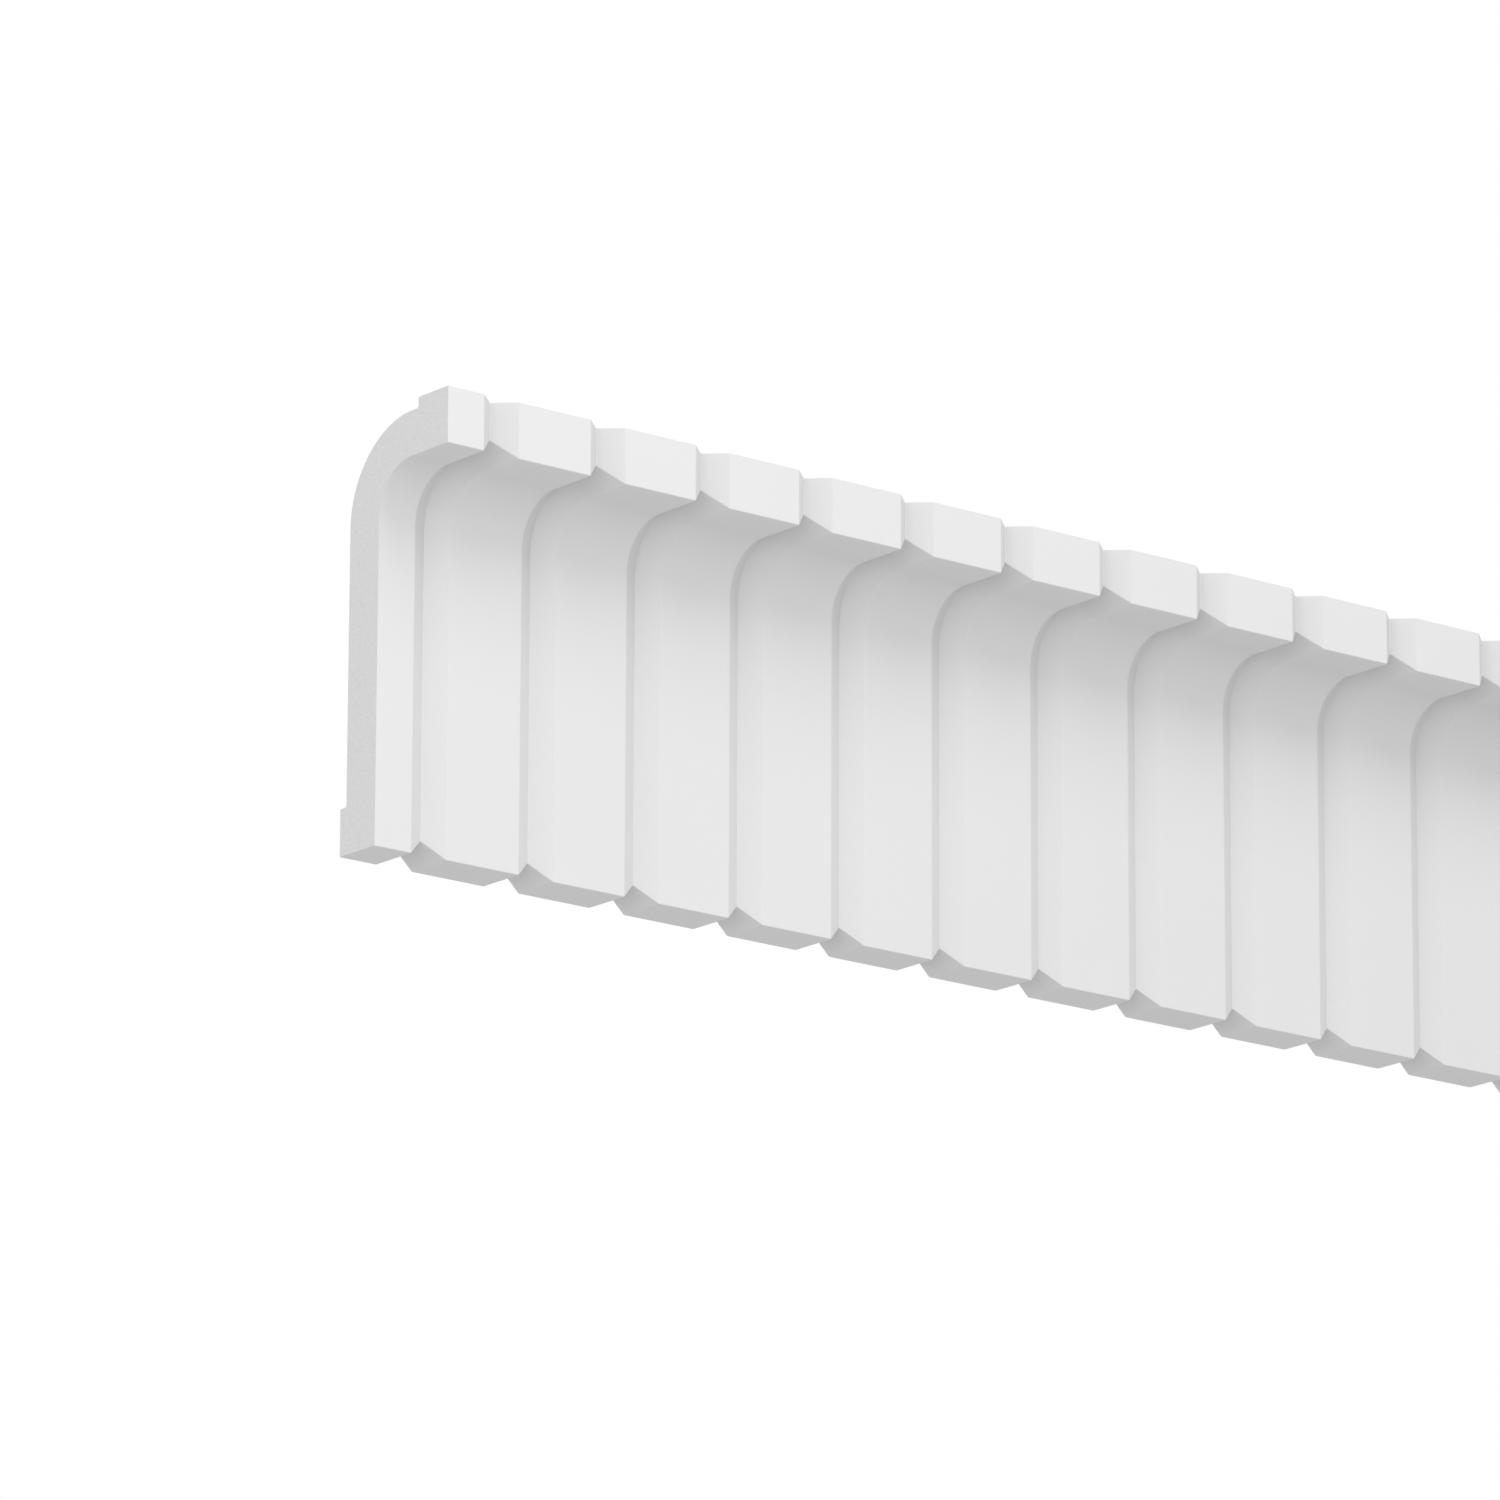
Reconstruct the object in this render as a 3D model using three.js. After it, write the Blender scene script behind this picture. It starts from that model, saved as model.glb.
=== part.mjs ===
// A length of cornice moulding for the angle between a wall and a ceiling, moulded in one piece.
// Its section is a bent plate: an upright leg with a pad against the wall, a cove, and a lip that
// bears on the ceiling with a second pad. V-grooves cross the whole face at an even pitch, from the
// bottom edge up the leg, round the cove and over the lip, and leave flat lands between them.
// Both ends are cut through the middle of a land, so that lengths set end to end keep the rhythm.
// Millimetres: +X runs along the length, +Y into the wall and +Z up.
// The origin is on the wall pad, at mid-length, where the moulding bears on the wall.

import * as THREE from "three";

// Rhythm of the grooves along the length
const GROOVE_PITCH = 30;
const GROOVE_WIDTH = 9.9;
const GROOVE_COUNT = 12;

// Outer size of the section
const HEIGHT = 100.5;
const PROJECTION = 38.15;

// The bent plate, and the height of the lip's front
const PLATE_THICKNESS = 10.8;
const BACK_RADIUS = 22.5;
const LIP_HEIGHT = 13.25;

// The pads that bear on the wall and on the ceiling
const WALL_PAD_WIDTH = 11.1;
const WALL_PAD_PROUD = 2.2;
const CEILING_PAD_WIDTH = 11.05;
const CEILING_PAD_PROUD = 2.55;

// How far the face is cut back from the lands, and the radius of the cove, on a land and along the
// bottom of a groove. The foot is the lower edge, cut a little higher at the wall than at the front.
const ON_LAND = { leg: 0, lipUnderside: 0, lipFront: 0, footFront: 0, footBack: 0, coveRadius: 11.65 };
const IN_GROOVE = {
  leg: 3.2,
  lipUnderside: 4.4,
  lipFront: 4.45,
  footFront: 4.15,
  footBack: 4.75,
  coveRadius: 15.45,
};

// Half the number of flat facets that stand for an arc
const ARC_DIVISIONS = 12;

// Colour of the primer coat
const PRIMER_WHITE = 0xdfdfdf;

const LENGTH = GROOVE_PITCH * GROOVE_COUNT;

// Outline of the section as points (y, z), from the back of the foot round by the face to the top of
// the wall pad. Every section has the same number of points, so that neighbours join one to one.
function sectionOutline(cut) {
  const back = -WALL_PAD_PROUD;
  const face = back - PLATE_THICKNESS + cut.leg;
  const front = -PROJECTION + cut.lipFront;
  const underside = HEIGHT - LIP_HEIGHT + cut.lipUnderside;
  const padEdge = -PROJECTION + CEILING_PAD_WIDTH;
  const top = HEIGHT - CEILING_PAD_PROUD;
  const { coveRadius } = cut;

  const outline = new THREE.Path();
  outline.moveTo(0, cut.footBack);
  outline.lineTo(face, cut.footFront);
  outline.absarc(face - coveRadius, underside - coveRadius, coveRadius, 0, Math.PI / 2, false);
  outline.lineTo(front, underside);
  outline.lineTo(front, HEIGHT);
  outline.lineTo(padEdge, HEIGHT);
  outline.lineTo(padEdge, top);
  outline.absarc(back - BACK_RADIUS, top - BACK_RADIUS, BACK_RADIUS, Math.PI / 2, 0, true);
  outline.lineTo(back, WALL_PAD_WIDTH);
  outline.lineTo(0, WALL_PAD_WIDTH);
  return outline.getPoints(ARC_DIVISIONS);
}

// Places along the length where the section is set out: the two cut ends, and for each groove its
// two rims and its bottom. Between two places the surface is ruled straight.
function sectionStations() {
  const land = sectionOutline(ON_LAND);
  const groove = sectionOutline(IN_GROOVE);
  const stations = [{ x: -LENGTH / 2, outline: land }];
  for (let index = 0; index < GROOVE_COUNT; index += 1) {
    const middle = (index + 0.5) * GROOVE_PITCH - LENGTH / 2;
    stations.push({ x: middle - GROOVE_WIDTH / 2, outline: land });
    stations.push({ x: middle, outline: groove });
    stations.push({ x: middle + GROOVE_WIDTH / 2, outline: land });
  }
  stations.push({ x: LENGTH / 2, outline: land });
  return stations;
}

// Two triangles for each side of the outline between each pair of neighbouring stations
function skinTriangles(stationCount, ringSize) {
  const triangles = [];
  for (let station = 0; station + 1 < stationCount; station += 1) {
    const here = station * ringSize;
    const next = here + ringSize;
    for (let point = 0; point < ringSize; point += 1) {
      const after = (point + 1) % ringSize;
      triangles.push(here + point, next + point, next + after);
      triangles.push(here + point, next + after, here + after);
    }
  }
  return triangles;
}

// Triangles that close one cut end, turned to face along +X or -X
function endTriangles(outline, firstIndex, facesPlusX) {
  const triangles = [];
  for (const corners of THREE.ShapeUtils.triangulateShape(outline, [])) {
    const turnsLeft = THREE.ShapeUtils.area(corners.map((corner) => outline[corner])) > 0;
    const ordered = turnsLeft === facesPlusX ? corners : corners.toReversed();
    triangles.push(...ordered.map((corner) => firstIndex + corner));
  }
  return triangles;
}

function mouldingGeometry() {
  const stations = sectionStations();
  const first = stations[0].outline;
  const last = stations.at(-1).outline;
  const positions = stations.flatMap(({ x, outline }) => outline.flatMap((point) => [x, point.x, point.y]));
  const lastIndex = (stations.length - 1) * last.length;

  const geometry = new THREE.BufferGeometry();
  geometry.setAttribute("position", new THREE.Float32BufferAttribute(positions, 3));
  geometry.setIndex([
    ...skinTriangles(stations.length, first.length),
    ...endTriangles(first, 0, false),
    ...endTriangles(last, lastIndex, true),
  ]);
  geometry.computeVertexNormals();
  return geometry;
}

// Rigid foam with a matt white primer coat, in even flat facets
function primedWhite() {
  return new THREE.MeshStandardMaterial({
    color: PRIMER_WHITE,
    roughness: 0.75,
    metalness: 0,
    flatShading: true,
  });
}

const moulding = new THREE.Mesh(mouldingGeometry(), primedWhite());
moulding.name = "cornice_moulding";
moulding.position.z = -WALL_PAD_WIDTH / 2;

const cornice = new THREE.Group();
cornice.add(moulding);

export default cornice;
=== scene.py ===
"""A length of white cornice moulding, and a plain studio stage for it.

The moulding is one surface: a rounded section carried along the length, swinging between the
outline of a land and the outline of a groove. Lengths are in metres, with +X along the
moulding, +Y into the wall, +Z up and the origin on the wall pad.
"""

import math

import bpy
import numpy as np
from bpy.props import FloatProperty, FloatVectorProperty, PointerProperty
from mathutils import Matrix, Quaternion, Vector


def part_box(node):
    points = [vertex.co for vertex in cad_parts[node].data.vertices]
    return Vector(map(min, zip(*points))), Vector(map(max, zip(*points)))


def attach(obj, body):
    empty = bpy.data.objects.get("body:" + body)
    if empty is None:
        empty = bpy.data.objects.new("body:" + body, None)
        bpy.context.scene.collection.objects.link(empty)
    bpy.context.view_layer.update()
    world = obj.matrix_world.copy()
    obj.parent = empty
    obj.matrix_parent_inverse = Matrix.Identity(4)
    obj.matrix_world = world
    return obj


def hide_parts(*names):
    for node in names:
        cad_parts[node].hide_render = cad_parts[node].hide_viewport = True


bl_info = {
    "name": "Cornice moulding length",
    "version": (1, 0, 0),
    "blender": (4, 5, 0),
    "location": "3D View > Sidebar > Cornice",
    "description": "Builds a length of grooved cornice moulding and a studio stage to show it on",
    "category": "Add Mesh",
}

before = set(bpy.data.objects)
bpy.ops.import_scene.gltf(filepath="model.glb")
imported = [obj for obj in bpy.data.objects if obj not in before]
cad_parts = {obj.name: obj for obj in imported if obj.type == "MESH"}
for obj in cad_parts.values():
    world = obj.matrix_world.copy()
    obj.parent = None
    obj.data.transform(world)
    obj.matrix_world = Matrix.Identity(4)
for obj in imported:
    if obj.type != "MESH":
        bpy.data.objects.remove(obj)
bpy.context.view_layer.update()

MM = 0.001
NODE = "cornice_moulding"
BODY = "root"
LOW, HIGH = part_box(NODE)

# Colours as sRGB hex values
PRIMER_WHITE = "DFDFDF"
PRIMER_CLOUD = "DCDCDC"
# Painted shade: a greyer primer mixed in on the sides and bottoms of the grooves
PRIMER_PAINTED_SHADE = "BDBDBD"
FOAM_WHITE = "DADADA"
FOAM_CELL = "D4D4D4"
FLOOR_GREY = "DFDFDF"
FLOOR_SEEN = "C8C8C8"
STUDIO_WHITE = "FFFFFF"


def linear_colour(code):
    """Linear red, green and blue of an sRGB hex value, by the two parts of the sRGB curve."""
    share = np.array([int(code[place:place + 2], 16) for place in (0, 2, 4)]) / 255
    return np.where(share <= 0.04045, share / 12.92, ((share + 0.055) / 1.055) ** 2.4).tolist()


def size(name, description, millimetres):
    """A length property with its default in millimetres."""
    return FloatProperty(
        name=name, description=description, default=millimetres * MM, min=0, unit="LENGTH", precision=5
    )


def bearing(name, description, degrees):
    """An angle property with its default in degrees."""
    return FloatProperty(
        name=name, description=description, default=math.radians(degrees), subtype="ANGLE"
    )


def power(name, description, watts):
    """A power property with its default in watts."""
    return FloatProperty(name=name, description=description, default=watts, min=0, unit="POWER")


def colour(name, description, code):
    """A colour property with its default as an sRGB hex value."""
    return FloatVectorProperty(
        name=name, description=description, default=linear_colour(code), min=0, max=1, subtype="COLOR"
    )


class CorniceSection(bpy.types.PropertyGroup):
    """Sizes of the section on a land"""

    length: size("Length", "Whole length of the moulding", (HIGH.x - LOW.x) / MM)
    height: size("Height", "From the bottom edge to the ceiling", (HIGH.z - LOW.z) / MM)
    projection: size("Projection", "From the wall to the front of the lip", (HIGH.y - LOW.y) / MM)
    plate_thickness: size("Plate thickness", "Thickness of the bent plate", 10.8)
    cove_radius: size("Cove radius", "Radius of the cove between leg and lip", 11.65)
    back_radius: size("Back radius", "Radius of the bend at the back", 22.5)
    lip_height: size("Lip height", "Height of the front of the lip", 13.25)
    wall_pad_width: size("Wall pad width", "Height of the pad against the wall", 11.1)
    wall_pad_proud: size("Wall pad proud", "How far the wall pad stands out of the back", 2.2)
    ceiling_pad_width: size("Ceiling pad width", "Depth of the pad against the ceiling", 11.05)
    ceiling_pad_proud: size("Ceiling pad proud", "How far the ceiling pad stands out of the top", 2.55)
    arris_radius: size("Arris radius", "Rounding of the outer edges", 0.2)
    fillet_radius: size("Fillet radius", "Rounding of the inner corners beside the pads", 0.5)
    sawn_radius: size("Sawn edge radius", "Rounding of the edges of the sawn ends", 0.12)


class CorniceGrooves(bpy.types.PropertyGroup):
    """Rhythm of the grooves, and how far they cut the face back from the lands"""

    pitch: size("Pitch", "From one groove to the next", 30)
    width: size("Width", "Width of a groove from rim to rim", 9.9)
    leg_depth: size("Leg depth", "Depth of a groove on the leg", 3.2)
    underside_depth: size("Underside depth", "Depth of a groove under the lip", 4.4)
    lip_depth: size("Lip depth", "Depth of a groove on the front of the lip", 4.45)
    foot_front_depth: size("Foot front depth", "Height of the notch at the front of the bottom edge", 4.15)
    foot_back_depth: size("Foot back depth", "Height of the notch at the wall", 4.75)
    cove_radius: size("Cove radius", "Radius of the cove along the bottom of a groove", 15.45)
    softness: size("Softness", "Half width of the rounding at the rims and the bottom", 0.12)


class CorniceFinish(bpy.types.PropertyGroup):
    """Colours of the moulding and the floor"""

    primer: colour("Primer", "Primer coat", PRIMER_WHITE)
    primer_cloud: colour("Primer cloud", "Primer coat where it lies a little thinner", PRIMER_CLOUD)
    # Painted shade in the grooves: the grey mixed into the primer on their sides and bottoms
    primer_painted_shade: colour("Primer painted shade", "Primer coat on a face that looks along the length", PRIMER_PAINTED_SHADE)
    foam: colour("Foam", "Sawn foam between the cells", FOAM_WHITE)
    foam_cell: colour("Foam cell", "Sawn foam in the open cells", FOAM_CELL)
    floor: colour("Floor", "Studio floor, in the light that it throws back", FLOOR_GREY)
    floor_seen: colour("Floor seen", "Studio floor, as the camera sees it", FLOOR_SEEN)
    studio: colour("Studio", "Light and background of the studio", STUDIO_WHITE)


class CorniceStage(bpy.types.PropertyGroup):
    """Floor, light and camera"""

    floor_drop: size("Floor drop", "How far the floor lies below the origin", 2000)
    floor_radius: size("Floor radius", "Radius of the floor", 16000)
    ambient: FloatProperty(
        name="Ambient", description="Strength of the light from all round", default=0.88, min=0
    )
    side_power: power("Side power", "Power of the soft box on the left", 2.2)
    high_power: power("High power", "Power of the soft box above the front", 3.05)
    back_power: power("Back power", "Power of the soft box behind", 3.5)
    lens: FloatProperty(name="Lens", description="Focal length", default=242.43, unit="CAMERA")
    azimuth: bearing("Azimuth", "Camera's turn to the right of the front", -38.6562)
    elevation: bearing("Elevation", "Camera's height above the level", -15.5465)
    roll: bearing("Roll", "Camera's turn about its own line of sight", 0.2101)
    distance: size("Distance", "From the camera to the point it looks at", 2305.9)
    aim: FloatVectorProperty(
        name="Aim", description="Point on the leg that the camera looks at",
        default=(-73.89 * MM, -13 * MM, 35.14 * MM), subtype="XYZ_LENGTH",
    )


# Facets in each rounded corner of the section, in the order of section_corners
ARRIS_STEPS, FILLET_STEPS, COVE_STEPS, BACK_STEPS = 5, 4, 36, 36
CORNER_STEPS = (
    ARRIS_STEPS, ARRIS_STEPS, COVE_STEPS, ARRIS_STEPS, ARRIS_STEPS,
    ARRIS_STEPS, FILLET_STEPS, BACK_STEPS, FILLET_STEPS, ARRIS_STEPS,
)
# Facets in the straight run that follows each of those corners
RUN_STEPS = (2, 12, 2, 2, 2, 1, 1, 12, 1, 2)


def section_corners(section, face, underside, front, foot_front, foot_back, cove_radius):
    """Corners (y, z) of the section and the radius at each, from the back of the foot round by the face.

    Heights count from the bottom edge. The cove and the bend at the back are corners like the others,
    with large radii.
    """
    back = -section.wall_pad_proud
    top = section.height - section.ceiling_pad_proud
    pad_edge = section.ceiling_pad_width - section.projection
    arris, fillet = section.arris_radius, section.fillet_radius
    corners = (
        (0, foot_back, arris),
        (face, foot_front, arris),
        (face, underside, cove_radius),
        (front, underside, arris),
        (front, section.height, arris),
        (pad_edge, section.height, arris),
        (pad_edge, top, fillet),
        (back, top, section.back_radius),
        (back, section.wall_pad_width, fillet),
        (0, section.wall_pad_width, arris),
    )
    table = np.array(corners)
    return table[:, :2], table[:, 2]


def land_corners(section):
    """Corners of the section on a land."""
    face = -section.wall_pad_proud - section.plate_thickness
    underside = section.height - section.lip_height
    return section_corners(section, face, underside, -section.projection, 0, 0, section.cove_radius)


def groove_corners(section, grooves):
    """Corners of the section along the bottom of a groove: those of a land, with the face cut back."""
    face = -section.wall_pad_proud - section.plate_thickness + grooves.leg_depth
    underside = section.height - section.lip_height + grooves.underside_depth
    front = -section.projection + grooves.lip_depth
    foot = grooves.foot_front_depth, grooves.foot_back_depth
    return section_corners(section, face, underside, front, *foot, grooves.cove_radius)


def rounded_outline(corners, radii):
    """Points and unit tangents of a closed outline with rounded corners.

    At a corner where the outline turns by an angle A, the arc starts r tan(A / 2) before the corner. After
    turning by a it has gone r sin(a) along the first side and r (1 - cos(a)) across it, up to a = A. A
    straight run, divided evenly, leads on to the next arc.
    """
    along = corners - np.roll(corners, 1, axis=0)
    along /= np.linalg.norm(along, axis=1, keepdims=True)
    leaving = np.roll(along, -1, axis=0)
    turn = np.arccos(np.clip((along * leaving).sum(1), -1, 1))
    side = np.sign(along[:, 0] * leaving[:, 1] - along[:, 1] * leaving[:, 0])
    across = side[:, None] * np.stack([-along[:, 1], along[:, 0]], axis=1)
    reach = (radii * np.tan(turn / 2))[:, None]
    starts = corners - along * reach
    ends = corners + leaving * reach
    points, tangents = [], []
    for corner, (arc_steps, run_steps) in enumerate(zip(CORNER_STEPS, RUN_STEPS)):
        angle = np.linspace(0, turn[corner], arc_steps + 1)[:, None]
        sweep = np.sin(angle) * along[corner] + (1 - np.cos(angle)) * across[corner]
        points.append(starts[corner] + radii[corner] * sweep)
        tangents.append(np.cos(angle) * along[corner] + np.sin(angle) * across[corner])
        share = np.linspace(0, 1, run_steps + 1)[1:-1, None]
        following = starts[(corner + 1) % len(starts)]
        points.append(ends[corner] + share * (following - ends[corner]))
        tangents.append(np.broadcast_to(leaving[corner], points[-1].shape))
    return np.concatenate(points), np.concatenate(tangents)


# Places along the length, both ends counted, in each stretch from the middle of a groove to the middle of a
# land: half the rounded bottom, the side, the rounded rim and half the land
BOTTOM_PLACES, SIDE_PLACES, RIM_PLACES, LAND_PLACES = 3, 4, 5, 4


def groove_stations(section, grooves):
    """Places along the length, with the groove's share of the section there and its slope.

    At a distance d from the middle of a groove with the half width h, the share falls evenly from 1 at the
    bottom to 0 at the rim. Over the softness b a parabola rounds the bottom, where the share is
    1 - (d d + b b) / (2 b h), and another rounds the rim, where it is (h + b - d) squared / (4 b h).
    """
    half, soft = grooves.width / 2, grooves.softness
    spans = (
        np.linspace(0, soft, BOTTOM_PLACES),
        np.linspace(soft, half - soft, SIDE_PLACES),
        np.linspace(half - soft, half + soft, RIM_PLACES),
        np.linspace(half + soft, grooves.pitch / 2, LAND_PLACES),
    )
    offsets = np.unique(np.concatenate(spans))
    offsets = np.concatenate([-offsets[:0:-1], offsets])
    count = round(section.length / grooves.pitch)
    bottoms = (np.arange(count) + 0.5) * grooves.pitch - section.length / 2
    places = np.append((bottoms[:, None] + offsets[None, :-1]).ravel(), bottoms[-1] + offsets[-1])
    offset = np.append(np.tile(offsets[:-1], count), offsets[-1])
    distance = np.abs(offset)
    to_land = half + soft - distance
    on_land, on_rim, on_bottom = to_land <= 0, distance > half - soft, distance < soft
    rim_share = to_land**2 / (4 * soft * half)
    bottom_share = 1 - (distance**2 + soft**2) / (2 * soft * half)
    stretches = [on_land, on_rim, on_bottom]
    share = np.select(stretches, [0, rim_share, bottom_share], 1 - distance / half)
    fall = np.select(stretches, [0, to_land / (2 * soft * half), distance / (soft * half)], 1 / half)
    return places, share, -fall * np.sign(offset)


def along_and_across(along, across):
    """Rings of vectors (x, y, z) from their parts along the length and across it."""
    return np.concatenate([np.broadcast_to(along, (*across.shape[:2], 1)), across], axis=-1)


# Facets round the edge of a sawn end
SAWN_STEPS = 3


def sawn_rings(section, land, outward):
    """Rings of points that round the edge of the sawn end on the right, and their normals.

    After turning by a, a ring is inset by r (1 - cos(a)) and stands r sin(a) further out.
    """
    radius = section.sawn_radius
    limit = section.length / 2 - radius
    angle = np.linspace(0, math.pi / 2, SAWN_STEPS + 1)[1:, None, None]
    inset = land - radius * (1 - np.cos(angle)) * outward
    points = along_and_across(limit + radius * np.sin(angle), inset)
    normals = along_and_across(np.sin(angle), np.cos(angle) * outward)
    return points, normals


# Direction as (y, z), out of the cove, to the front and down, in which the painted shade in the grooves is
# least. A face turned this way loses this share of that shade.
LEAST_SHADE_DIRECTION = np.array([-1, -1]) / math.sqrt(2)
LEAST_SHADE_SHARE = 0.7


def painted_shade_amount(normals, share, outward):
    """Painted shade in the grooves of the moulded skin: 0 on a land, and 1 at most on a face square to the
    length.

    It is the square of the normal's part along the length, times (1 + s) / 2 for the groove's share s, so
    twice as much at the bottom as at the rims. It is also taken times 1 - p cos(c) cos(c), with the share p
    and the angle c between the section's normal and the direction of least shade, so least where the two are
    in line.
    """
    # Painted shade is least where the section faces the direction of least shade
    facing_shade = 1 - LEAST_SHADE_SHARE * (outward @ LEAST_SHADE_DIRECTION) ** 2
    return normals[..., 0] ** 2 * (1 + share[..., 0]) / 2 * facing_shade


# Turns what is at the right end into its like at the left
MIRROR = np.array([-1, 1, 1])


def moulding_surface(section, grooves):
    """Rings of points from end to end, their normals and the painted shade in the grooves there.

    At x the section is land + s (groove - land), with the groove's share s. The normal is the cross product
    of the surface's slopes along the length and round the section.
    """
    land, land_tangent = rounded_outline(*land_corners(section))
    groove, groove_tangent = rounded_outline(*groove_corners(section, grooves))
    places, share, slope = groove_stations(section, grooves)
    limit = section.length / 2 - section.sawn_radius
    places = np.clip(places, -limit, limit)[:, None, None]
    share, slope = share[:, None, None], slope[:, None, None]
    points = along_and_across(places, land + share * (groove - land))
    tangent = land_tangent + share * (groove_tangent - land_tangent)
    lean = slope * (groove - land)
    skew = lean[..., 0] * tangent[..., 1] - lean[..., 1] * tangent[..., 0]
    normals = np.stack([skew, -tangent[..., 1], tangent[..., 0]], axis=-1)
    normals /= np.linalg.norm(normals, axis=-1, keepdims=True)

    outward = np.stack([-land_tangent[:, 1], land_tangent[:, 0]], axis=-1)
    # Painted shade in the grooves, and none on the rings round the sawn edges
    painted_shade = np.pad(painted_shade_amount(normals, share, outward), ((SAWN_STEPS, SAWN_STEPS), (0, 0)))
    edge, edge_normals = sawn_rings(section, land, outward)
    points = np.concatenate([(edge * MIRROR)[::-1], points, edge])
    points[..., 2] += LOW.z
    normals = np.concatenate([(edge_normals * MIRROR)[::-1], normals, edge_normals])
    return points, normals, painted_shade


def ring_mesh(name, points, normals):
    """A closed mesh over rings of points, with flat ends and the given normals."""
    rings, around = points.shape[:2]
    index = np.arange(rings * around).reshape(rings, around)
    following = np.roll(index, -1, axis=1)
    quads = np.stack([index[:-1], index[1:], following[1:], following[:-1]], axis=-1).reshape(-1, 4)
    faces = quads.tolist() + [index[0].tolist(), index[-1, ::-1].tolist()]
    mesh = bpy.data.meshes.new(name)
    mesh.from_pydata(points.reshape(-1, 3).tolist(), [], faces)
    mesh.polygons.foreach_set("use_smooth", np.ones(len(faces), bool))
    mesh.normals_split_custom_set_from_vertices(normals.reshape(-1, 3).tolist())
    if mesh.validate():
        raise RuntimeError(f"{name} has faults in its mesh")
    return mesh


def add_node(tree, kind, settings=None, links=None):
    """A node of a kind, with its own settings, its sockets' values and its links from other sockets."""
    node = tree.nodes.new(kind)
    for name, value in (settings or {}).items():
        if name in node.inputs:
            node.inputs[name].default_value = value
        else:
            setattr(node, name, value)
    for name, source in (links or {}).items():
        tree.links.new(source, node.inputs[name])
    return node


def new_material(name):
    """An empty node material, and its tree."""
    material = bpy.data.materials.new(name)
    material.use_nodes = True
    material.node_tree.nodes.clear()
    return material, material.node_tree


def per_metre(millimetres):
    """Texture scale for a pattern whose features are so many millimetres across."""
    return 1 / (millimetres * MM)


def opaque(linear):
    """A colour socket's value for a linear colour."""
    return (*linear, 1)


# Waterborne acrylic primer, sprayed in the factory on a moulded rigid foam skin. The eye sees an even matt
# white, a slight orange peel where light grazes it and clouds a shade apart. A greyer primer is mixed in as
# painted shade on the sides and bottoms of the grooves.
PAINTED_SHADE_ATTRIBUTE = "painted_groove_shade"
CLOUD_MM, CLOUD_DETAIL = 42, 3.0
SHEEN_MM, SHEEN_DETAIL, SMOOTHEST, ROUGHEST = 9, 2.0, 0.66, 0.76
PEEL_MM, PEEL_DETAIL, PEEL_STRENGTH, PEEL_HEIGHT_MM = 1.4, 2.0, 0.12, 0.05
PRIMER_IOR = 1.48


def sprayed_primer(finish):
    """Material of the moulded skin."""
    material, tree = new_material("sprayed_primer_on_moulded_foam")
    place = {"Vector": add_node(tree, "ShaderNodeTexCoord").outputs["Object"]}
    clouds = add_node(
        tree, "ShaderNodeTexNoise", {"Scale": per_metre(CLOUD_MM), "Detail": CLOUD_DETAIL}, place
    )
    coat = add_node(
        tree, "ShaderNodeMixRGB", {"Color1": opaque(finish.primer), "Color2": opaque(finish.primer_cloud)},
        {"Fac": clouds.outputs["Fac"]},
    )
    # Painted shade in the grooves: the mesh attribute mixes the greyer primer into the base colour
    painted_shade_node = add_node(tree, "ShaderNodeAttribute", {"attribute_name": PAINTED_SHADE_ATTRIBUTE})
    white = add_node(
        tree, "ShaderNodeMixRGB", {"Color2": opaque(finish.primer_painted_shade)},
        {"Fac": painted_shade_node.outputs["Fac"], "Color1": coat.outputs["Color"]},
    )
    patches = add_node(
        tree, "ShaderNodeTexNoise", {"Scale": per_metre(SHEEN_MM), "Detail": SHEEN_DETAIL}, place
    )
    sheen = add_node(
        tree, "ShaderNodeMapRange", {"To Min": SMOOTHEST, "To Max": ROUGHEST},
        {"Value": patches.outputs["Fac"]},
    )
    peel = add_node(
        tree, "ShaderNodeTexNoise", {"Scale": per_metre(PEEL_MM), "Detail": PEEL_DETAIL}, place
    )
    relief = add_node(
        tree, "ShaderNodeBump", {"Strength": PEEL_STRENGTH, "Distance": PEEL_HEIGHT_MM * MM},
        {"Height": peel.outputs["Fac"]},
    )
    shader = add_node(
        tree, "ShaderNodeBsdfPrincipled", {"IOR": PRIMER_IOR},
        {
            "Base Color": white.outputs["Color"],
            "Roughness": sheen.outputs["Result"],
            "Normal": relief.outputs["Normal"],
        },
    )
    add_node(tree, "ShaderNodeOutputMaterial", links={"Surface": shader.outputs["BSDF"]})
    return material


# Rigid polyurethane foam, cut square with a fine saw. The eye sees a dry white face with open cells, which
# are about 0.3 mm across and are drawn larger here, because they would be too fine to show. A cell's wall
# rises from its hollow to its rim, which are so many cell widths from the middle.
CELL_MM, CELL_HOLLOW, CELL_RIM = 0.7, 0.1, 0.6
CELL_STRENGTH, CELL_DEPTH_MM = 0.2, 0.08
FOAM_IOR, FOAM_ROUGHNESS = 1.5, 0.85


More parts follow.
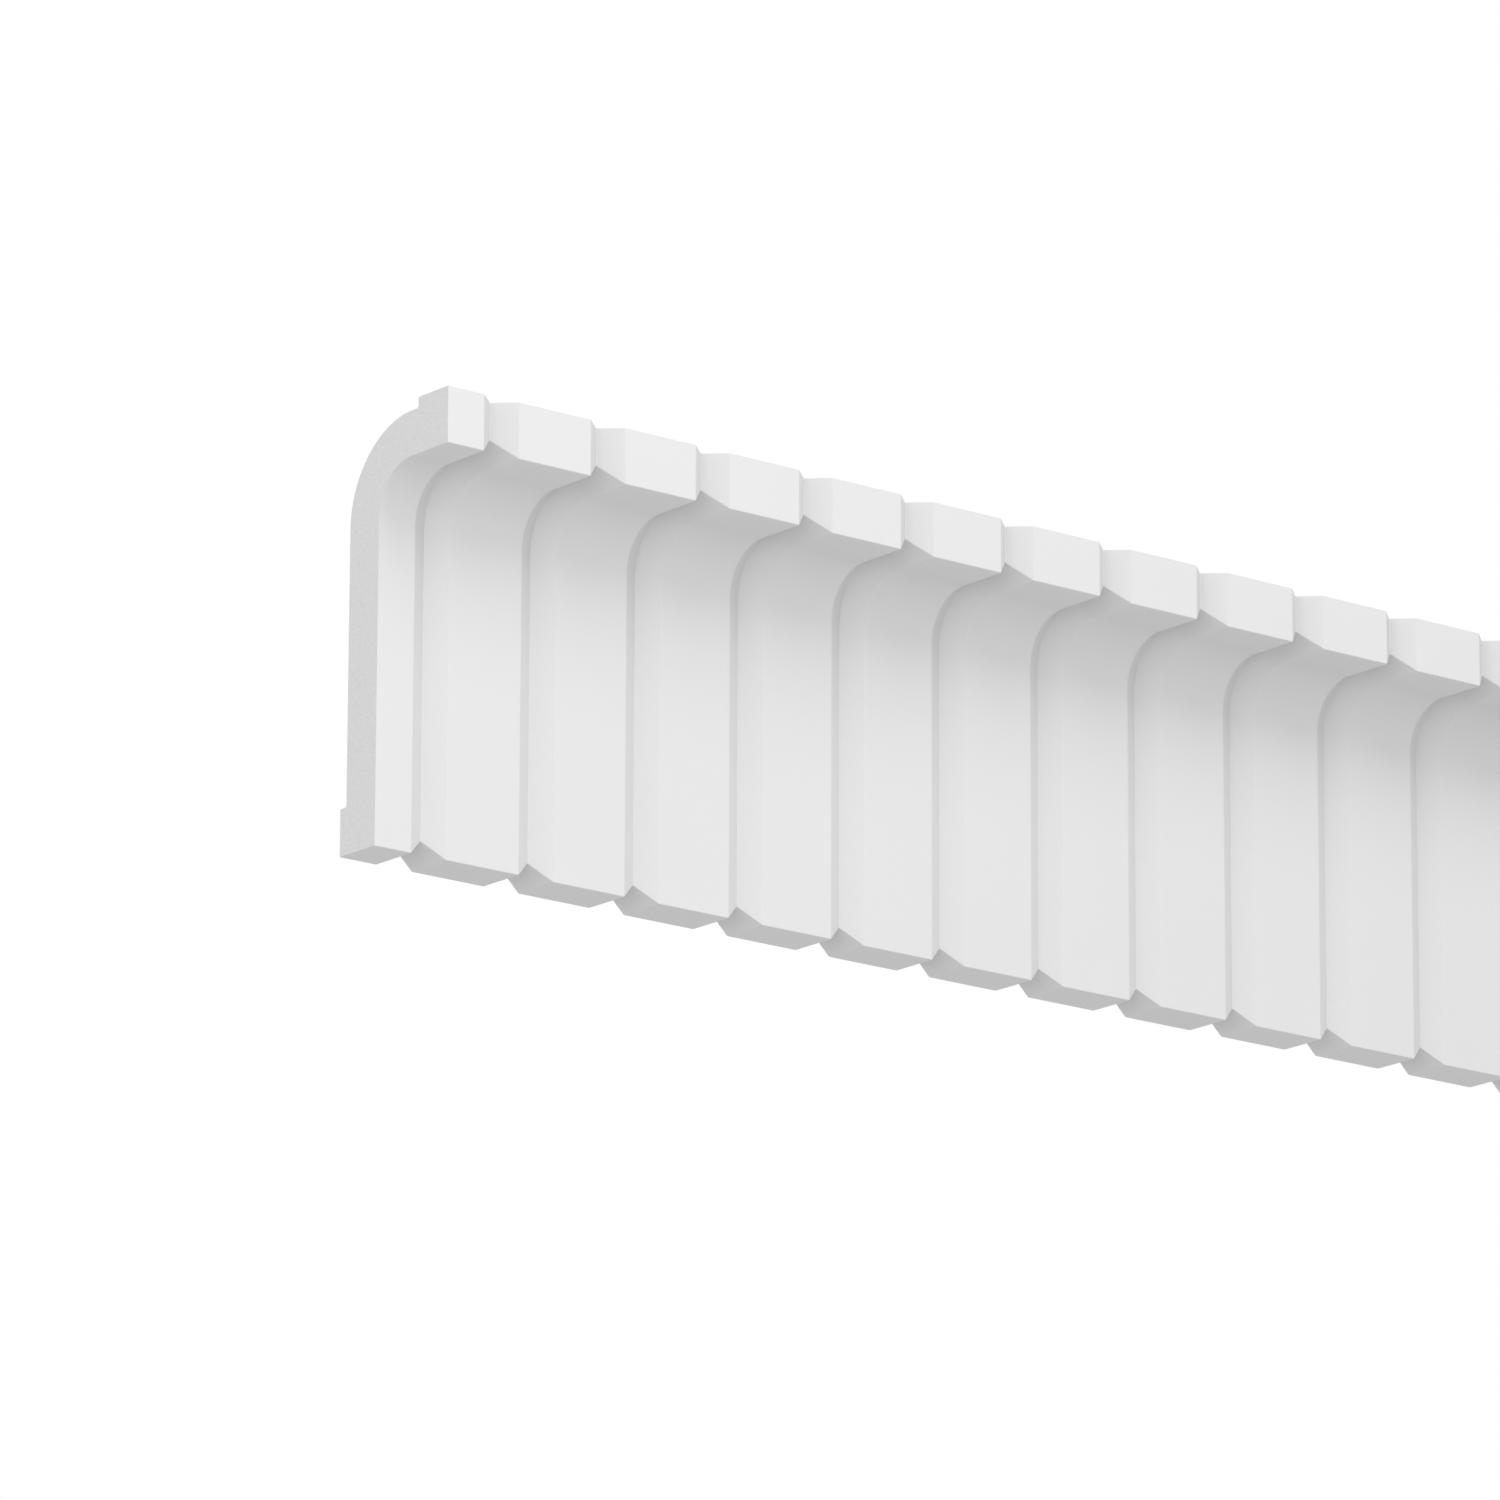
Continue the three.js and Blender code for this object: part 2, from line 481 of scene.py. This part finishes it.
def sawn_foam(finish):
    """Material of the sawn ends."""
    material, tree = new_material("sawn_rigid_foam")
    place = {"Vector": add_node(tree, "ShaderNodeTexCoord").outputs["Object"]}
    cells = add_node(tree, "ShaderNodeTexVoronoi", {"Scale": per_metre(CELL_MM)}, place)
    walls = add_node(
        tree, "ShaderNodeMapRange", {"From Min": CELL_HOLLOW, "From Max": CELL_RIM},
        {"Value": cells.outputs["Distance"]},
    )
    face = add_node(
        tree, "ShaderNodeMixRGB", {"Color1": opaque(finish.foam_cell), "Color2": opaque(finish.foam)},
        {"Fac": walls.outputs["Result"]},
    )
    relief = add_node(
        tree, "ShaderNodeBump", {"Strength": CELL_STRENGTH, "Distance": CELL_DEPTH_MM * MM},
        {"Height": walls.outputs["Result"]},
    )
    shader = add_node(
        tree, "ShaderNodeBsdfPrincipled", {"IOR": FOAM_IOR, "Roughness": FOAM_ROUGHNESS},
        {"Base Color": face.outputs["Color"], "Normal": relief.outputs["Normal"]},
    )
    add_node(tree, "ShaderNodeOutputMaterial", links={"Surface": shader.outputs["BSDF"]})
    return material


class CORNICE_OT_moulding(bpy.types.Operator):
    """Build the length of moulding in place of its solid"""

    bl_idname = "cornice.moulding"
    bl_label = "Moulding"

    def execute(self, context):
        scene = context.scene
        points, normals, painted_shade = moulding_surface(scene.cornice_section, scene.cornice_grooves)
        mesh = ring_mesh("moulding", points, normals)
        # Painted shade in the grooves, stored on the points for the primer to read
        mesh.attributes.new(PAINTED_SHADE_ATTRIBUTE, "FLOAT", "POINT").data.foreach_set("value", painted_shade.ravel())
        mesh.materials.append(sprayed_primer(scene.cornice_finish))
        mesh.materials.append(sawn_foam(scene.cornice_finish))
        # Bare foam shows on the facets round the sawn edges and on the two end faces, the last in the mesh
        rings, around = points.shape[:2]
        ring = np.arange(len(mesh.polygons)) // around
        sawn = (ring < SAWN_STEPS) | (ring >= rings - 1 - SAWN_STEPS)
        mesh.polygons.foreach_set("material_index", sawn.astype(np.int32))
        piece = bpy.data.objects.new("moulding", mesh)
        scene.collection.objects.link(piece)
        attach(piece, BODY)
        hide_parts(NODE)
        return {"FINISHED"}


# Plain matt paint on a level floor. The eye sees an even pale grey, a shade darker than the light that the
# floor throws back, so that white faces stand out from it.
FLOOR_SIDES, FLOOR_ROUGHNESS = 96, 0.9


def matt_floor_paint(finish):
    """Material of the studio floor."""
    material, tree = new_material("matt_floor_paint")
    seen = add_node(tree, "ShaderNodeLightPath").outputs["Is Camera Ray"]
    paint = add_node(
        tree, "ShaderNodeMixRGB", {"Color1": opaque(finish.floor), "Color2": opaque(finish.floor_seen)},
        {"Fac": seen},
    )
    shader = add_node(
        tree, "ShaderNodeBsdfPrincipled", {"Roughness": FLOOR_ROUGHNESS},
        {"Base Color": paint.outputs["Color"]},
    )
    add_node(tree, "ShaderNodeOutputMaterial", links={"Surface": shader.outputs["BSDF"]})
    return material


def studio_floor(stage, finish):
    """A round flat floor: one face with its rim at the angles 2 pi k / n."""
    angle = np.arange(FLOOR_SIDES) * 2 * math.pi / FLOOR_SIDES
    level = np.full(FLOOR_SIDES, -stage.floor_drop)
    radius = stage.floor_radius
    rim = np.stack([radius * np.cos(angle), radius * np.sin(angle), level], axis=-1)
    mesh = bpy.data.meshes.new("floor")
    mesh.from_pydata(rim.tolist(), [], [list(range(FLOOR_SIDES))])
    mesh.materials.append(matt_floor_paint(finish))
    floor = bpy.data.objects.new("floor", mesh)
    bpy.context.scene.collection.objects.link(floor)


def studio_world(stage, finish):
    """Even light from all round, in front of a white background."""
    world = bpy.data.worlds.new("studio")
    world.use_nodes = True
    tree = world.node_tree
    tree.nodes.clear()
    white = opaque(finish.studio)
    light = add_node(tree, "ShaderNodeBackground", {"Color": white, "Strength": stage.ambient})
    backdrop = add_node(tree, "ShaderNodeBackground", {"Color": white})
    seen = add_node(tree, "ShaderNodeLightPath").outputs["Is Camera Ray"]
    mixed = add_node(tree, "ShaderNodeMixShader", links={"Fac": seen})
    tree.links.new(light.outputs["Background"], mixed.inputs[1])
    tree.links.new(backdrop.outputs["Background"], mixed.inputs[2])
    add_node(tree, "ShaderNodeOutputWorld", links={"Surface": mixed.outputs["Shader"]})
    bpy.context.scene.world = world


def direction(azimuth, elevation):
    """Unit vector from the moulding towards an azimuth to the right of the front and an elevation."""
    level = math.cos(elevation)
    return Vector((math.sin(azimuth) * level, -math.cos(azimuth) * level, math.sin(elevation)))


# Where the soft boxes stand: the point they face, how far from it, their width and their directions
BOX_AIM = Vector((-30, -20, 45)) * MM
BOX_DISTANCE = 1000 * MM
BOX_WIDTH = 700 * MM
SIDE_BOX = direction(math.radians(-45), 0)
HIGH_BOX = direction(0, math.radians(45))
BACK_BOX = direction(math.radians(160), math.radians(35))


def soft_box(name, watts, towards):
    """A square area light that stands in a direction from the moulding and faces it."""
    lamp = bpy.data.lights.new(name, "AREA")
    lamp.shape = "SQUARE"
    lamp.size = BOX_WIDTH
    lamp.energy = watts
    box = bpy.data.objects.new(name, lamp)
    box.location = BOX_AIM + towards * BOX_DISTANCE
    box.rotation_euler = towards.to_track_quat("Z", "Y").to_euler()
    box.visible_camera = False
    bpy.context.scene.collection.objects.link(box)


def studio_camera(stage):
    """Camera at the photograph's angle and framing."""
    camera = bpy.data.cameras.new("camera")
    camera.lens = stage.lens
    camera.clip_end = 2 * stage.floor_radius
    holder = bpy.data.objects.new("camera", camera)
    towards = direction(stage.azimuth, stage.elevation)
    holder.location = Vector(stage.aim) + towards * stage.distance
    turn = towards.to_track_quat("Z", "Y") @ Quaternion((0, 0, 1), stage.roll)
    holder.rotation_euler = turn.to_euler()
    bpy.context.scene.collection.objects.link(holder)
    bpy.context.scene.camera = holder


class CORNICE_OT_stage(bpy.types.Operator):
    """Set the floor, the light and the camera"""

    bl_idname = "cornice.stage"
    bl_label = "Stage"

    def execute(self, context):
        scene = context.scene
        stage, finish = scene.cornice_stage, scene.cornice_finish
        studio_floor(stage, finish)
        studio_world(stage, finish)
        soft_box("side_box", stage.side_power, SIDE_BOX)
        soft_box("high_box", stage.high_power, HIGH_BOX)
        soft_box("back_box", stage.back_power, BACK_BOX)
        studio_camera(stage)
        scene.view_settings.view_transform = "Standard"
        return {"FINISHED"}


class CORNICE_PT_panel(bpy.types.Panel):
    """Sizes, colours and the two steps that build the scene"""

    bl_idname = "CORNICE_PT_panel"
    bl_label = "Cornice moulding"
    bl_space_type = "VIEW_3D"
    bl_region_type = "UI"
    bl_category = "Cornice"

    def draw(self, context):
        for group in PROPERTY_GROUPS:
            box = self.layout.box()
            settings = getattr(context.scene, group)
            for name in settings.__annotations__:
                box.prop(settings, name)
        for operator in OPERATORS:
            self.layout.operator(operator.bl_idname)


PROPERTY_GROUPS = {
    "cornice_section": CorniceSection,
    "cornice_grooves": CorniceGrooves,
    "cornice_finish": CorniceFinish,
    "cornice_stage": CorniceStage,
}
OPERATORS = (CORNICE_OT_moulding, CORNICE_OT_stage)


def register():
    """Register the classes and hang the property groups on the scene."""
    for kind in (*PROPERTY_GROUPS.values(), *OPERATORS, CORNICE_PT_panel):
        bpy.utils.register_class(kind)
    for name, kind in PROPERTY_GROUPS.items():
        setattr(bpy.types.Scene, name, PointerProperty(type=kind))


def unregister():
    """Undo what register does."""
    for name in PROPERTY_GROUPS:
        delattr(bpy.types.Scene, name)
    for kind in (CORNICE_PT_panel, *OPERATORS, *PROPERTY_GROUPS.values()):
        bpy.utils.unregister_class(kind)


def main():
    """Build the moulding and its stage."""
    register()
    bpy.ops.cornice.moulding()
    bpy.ops.cornice.stage()


if __name__ == "__main__":
    main()
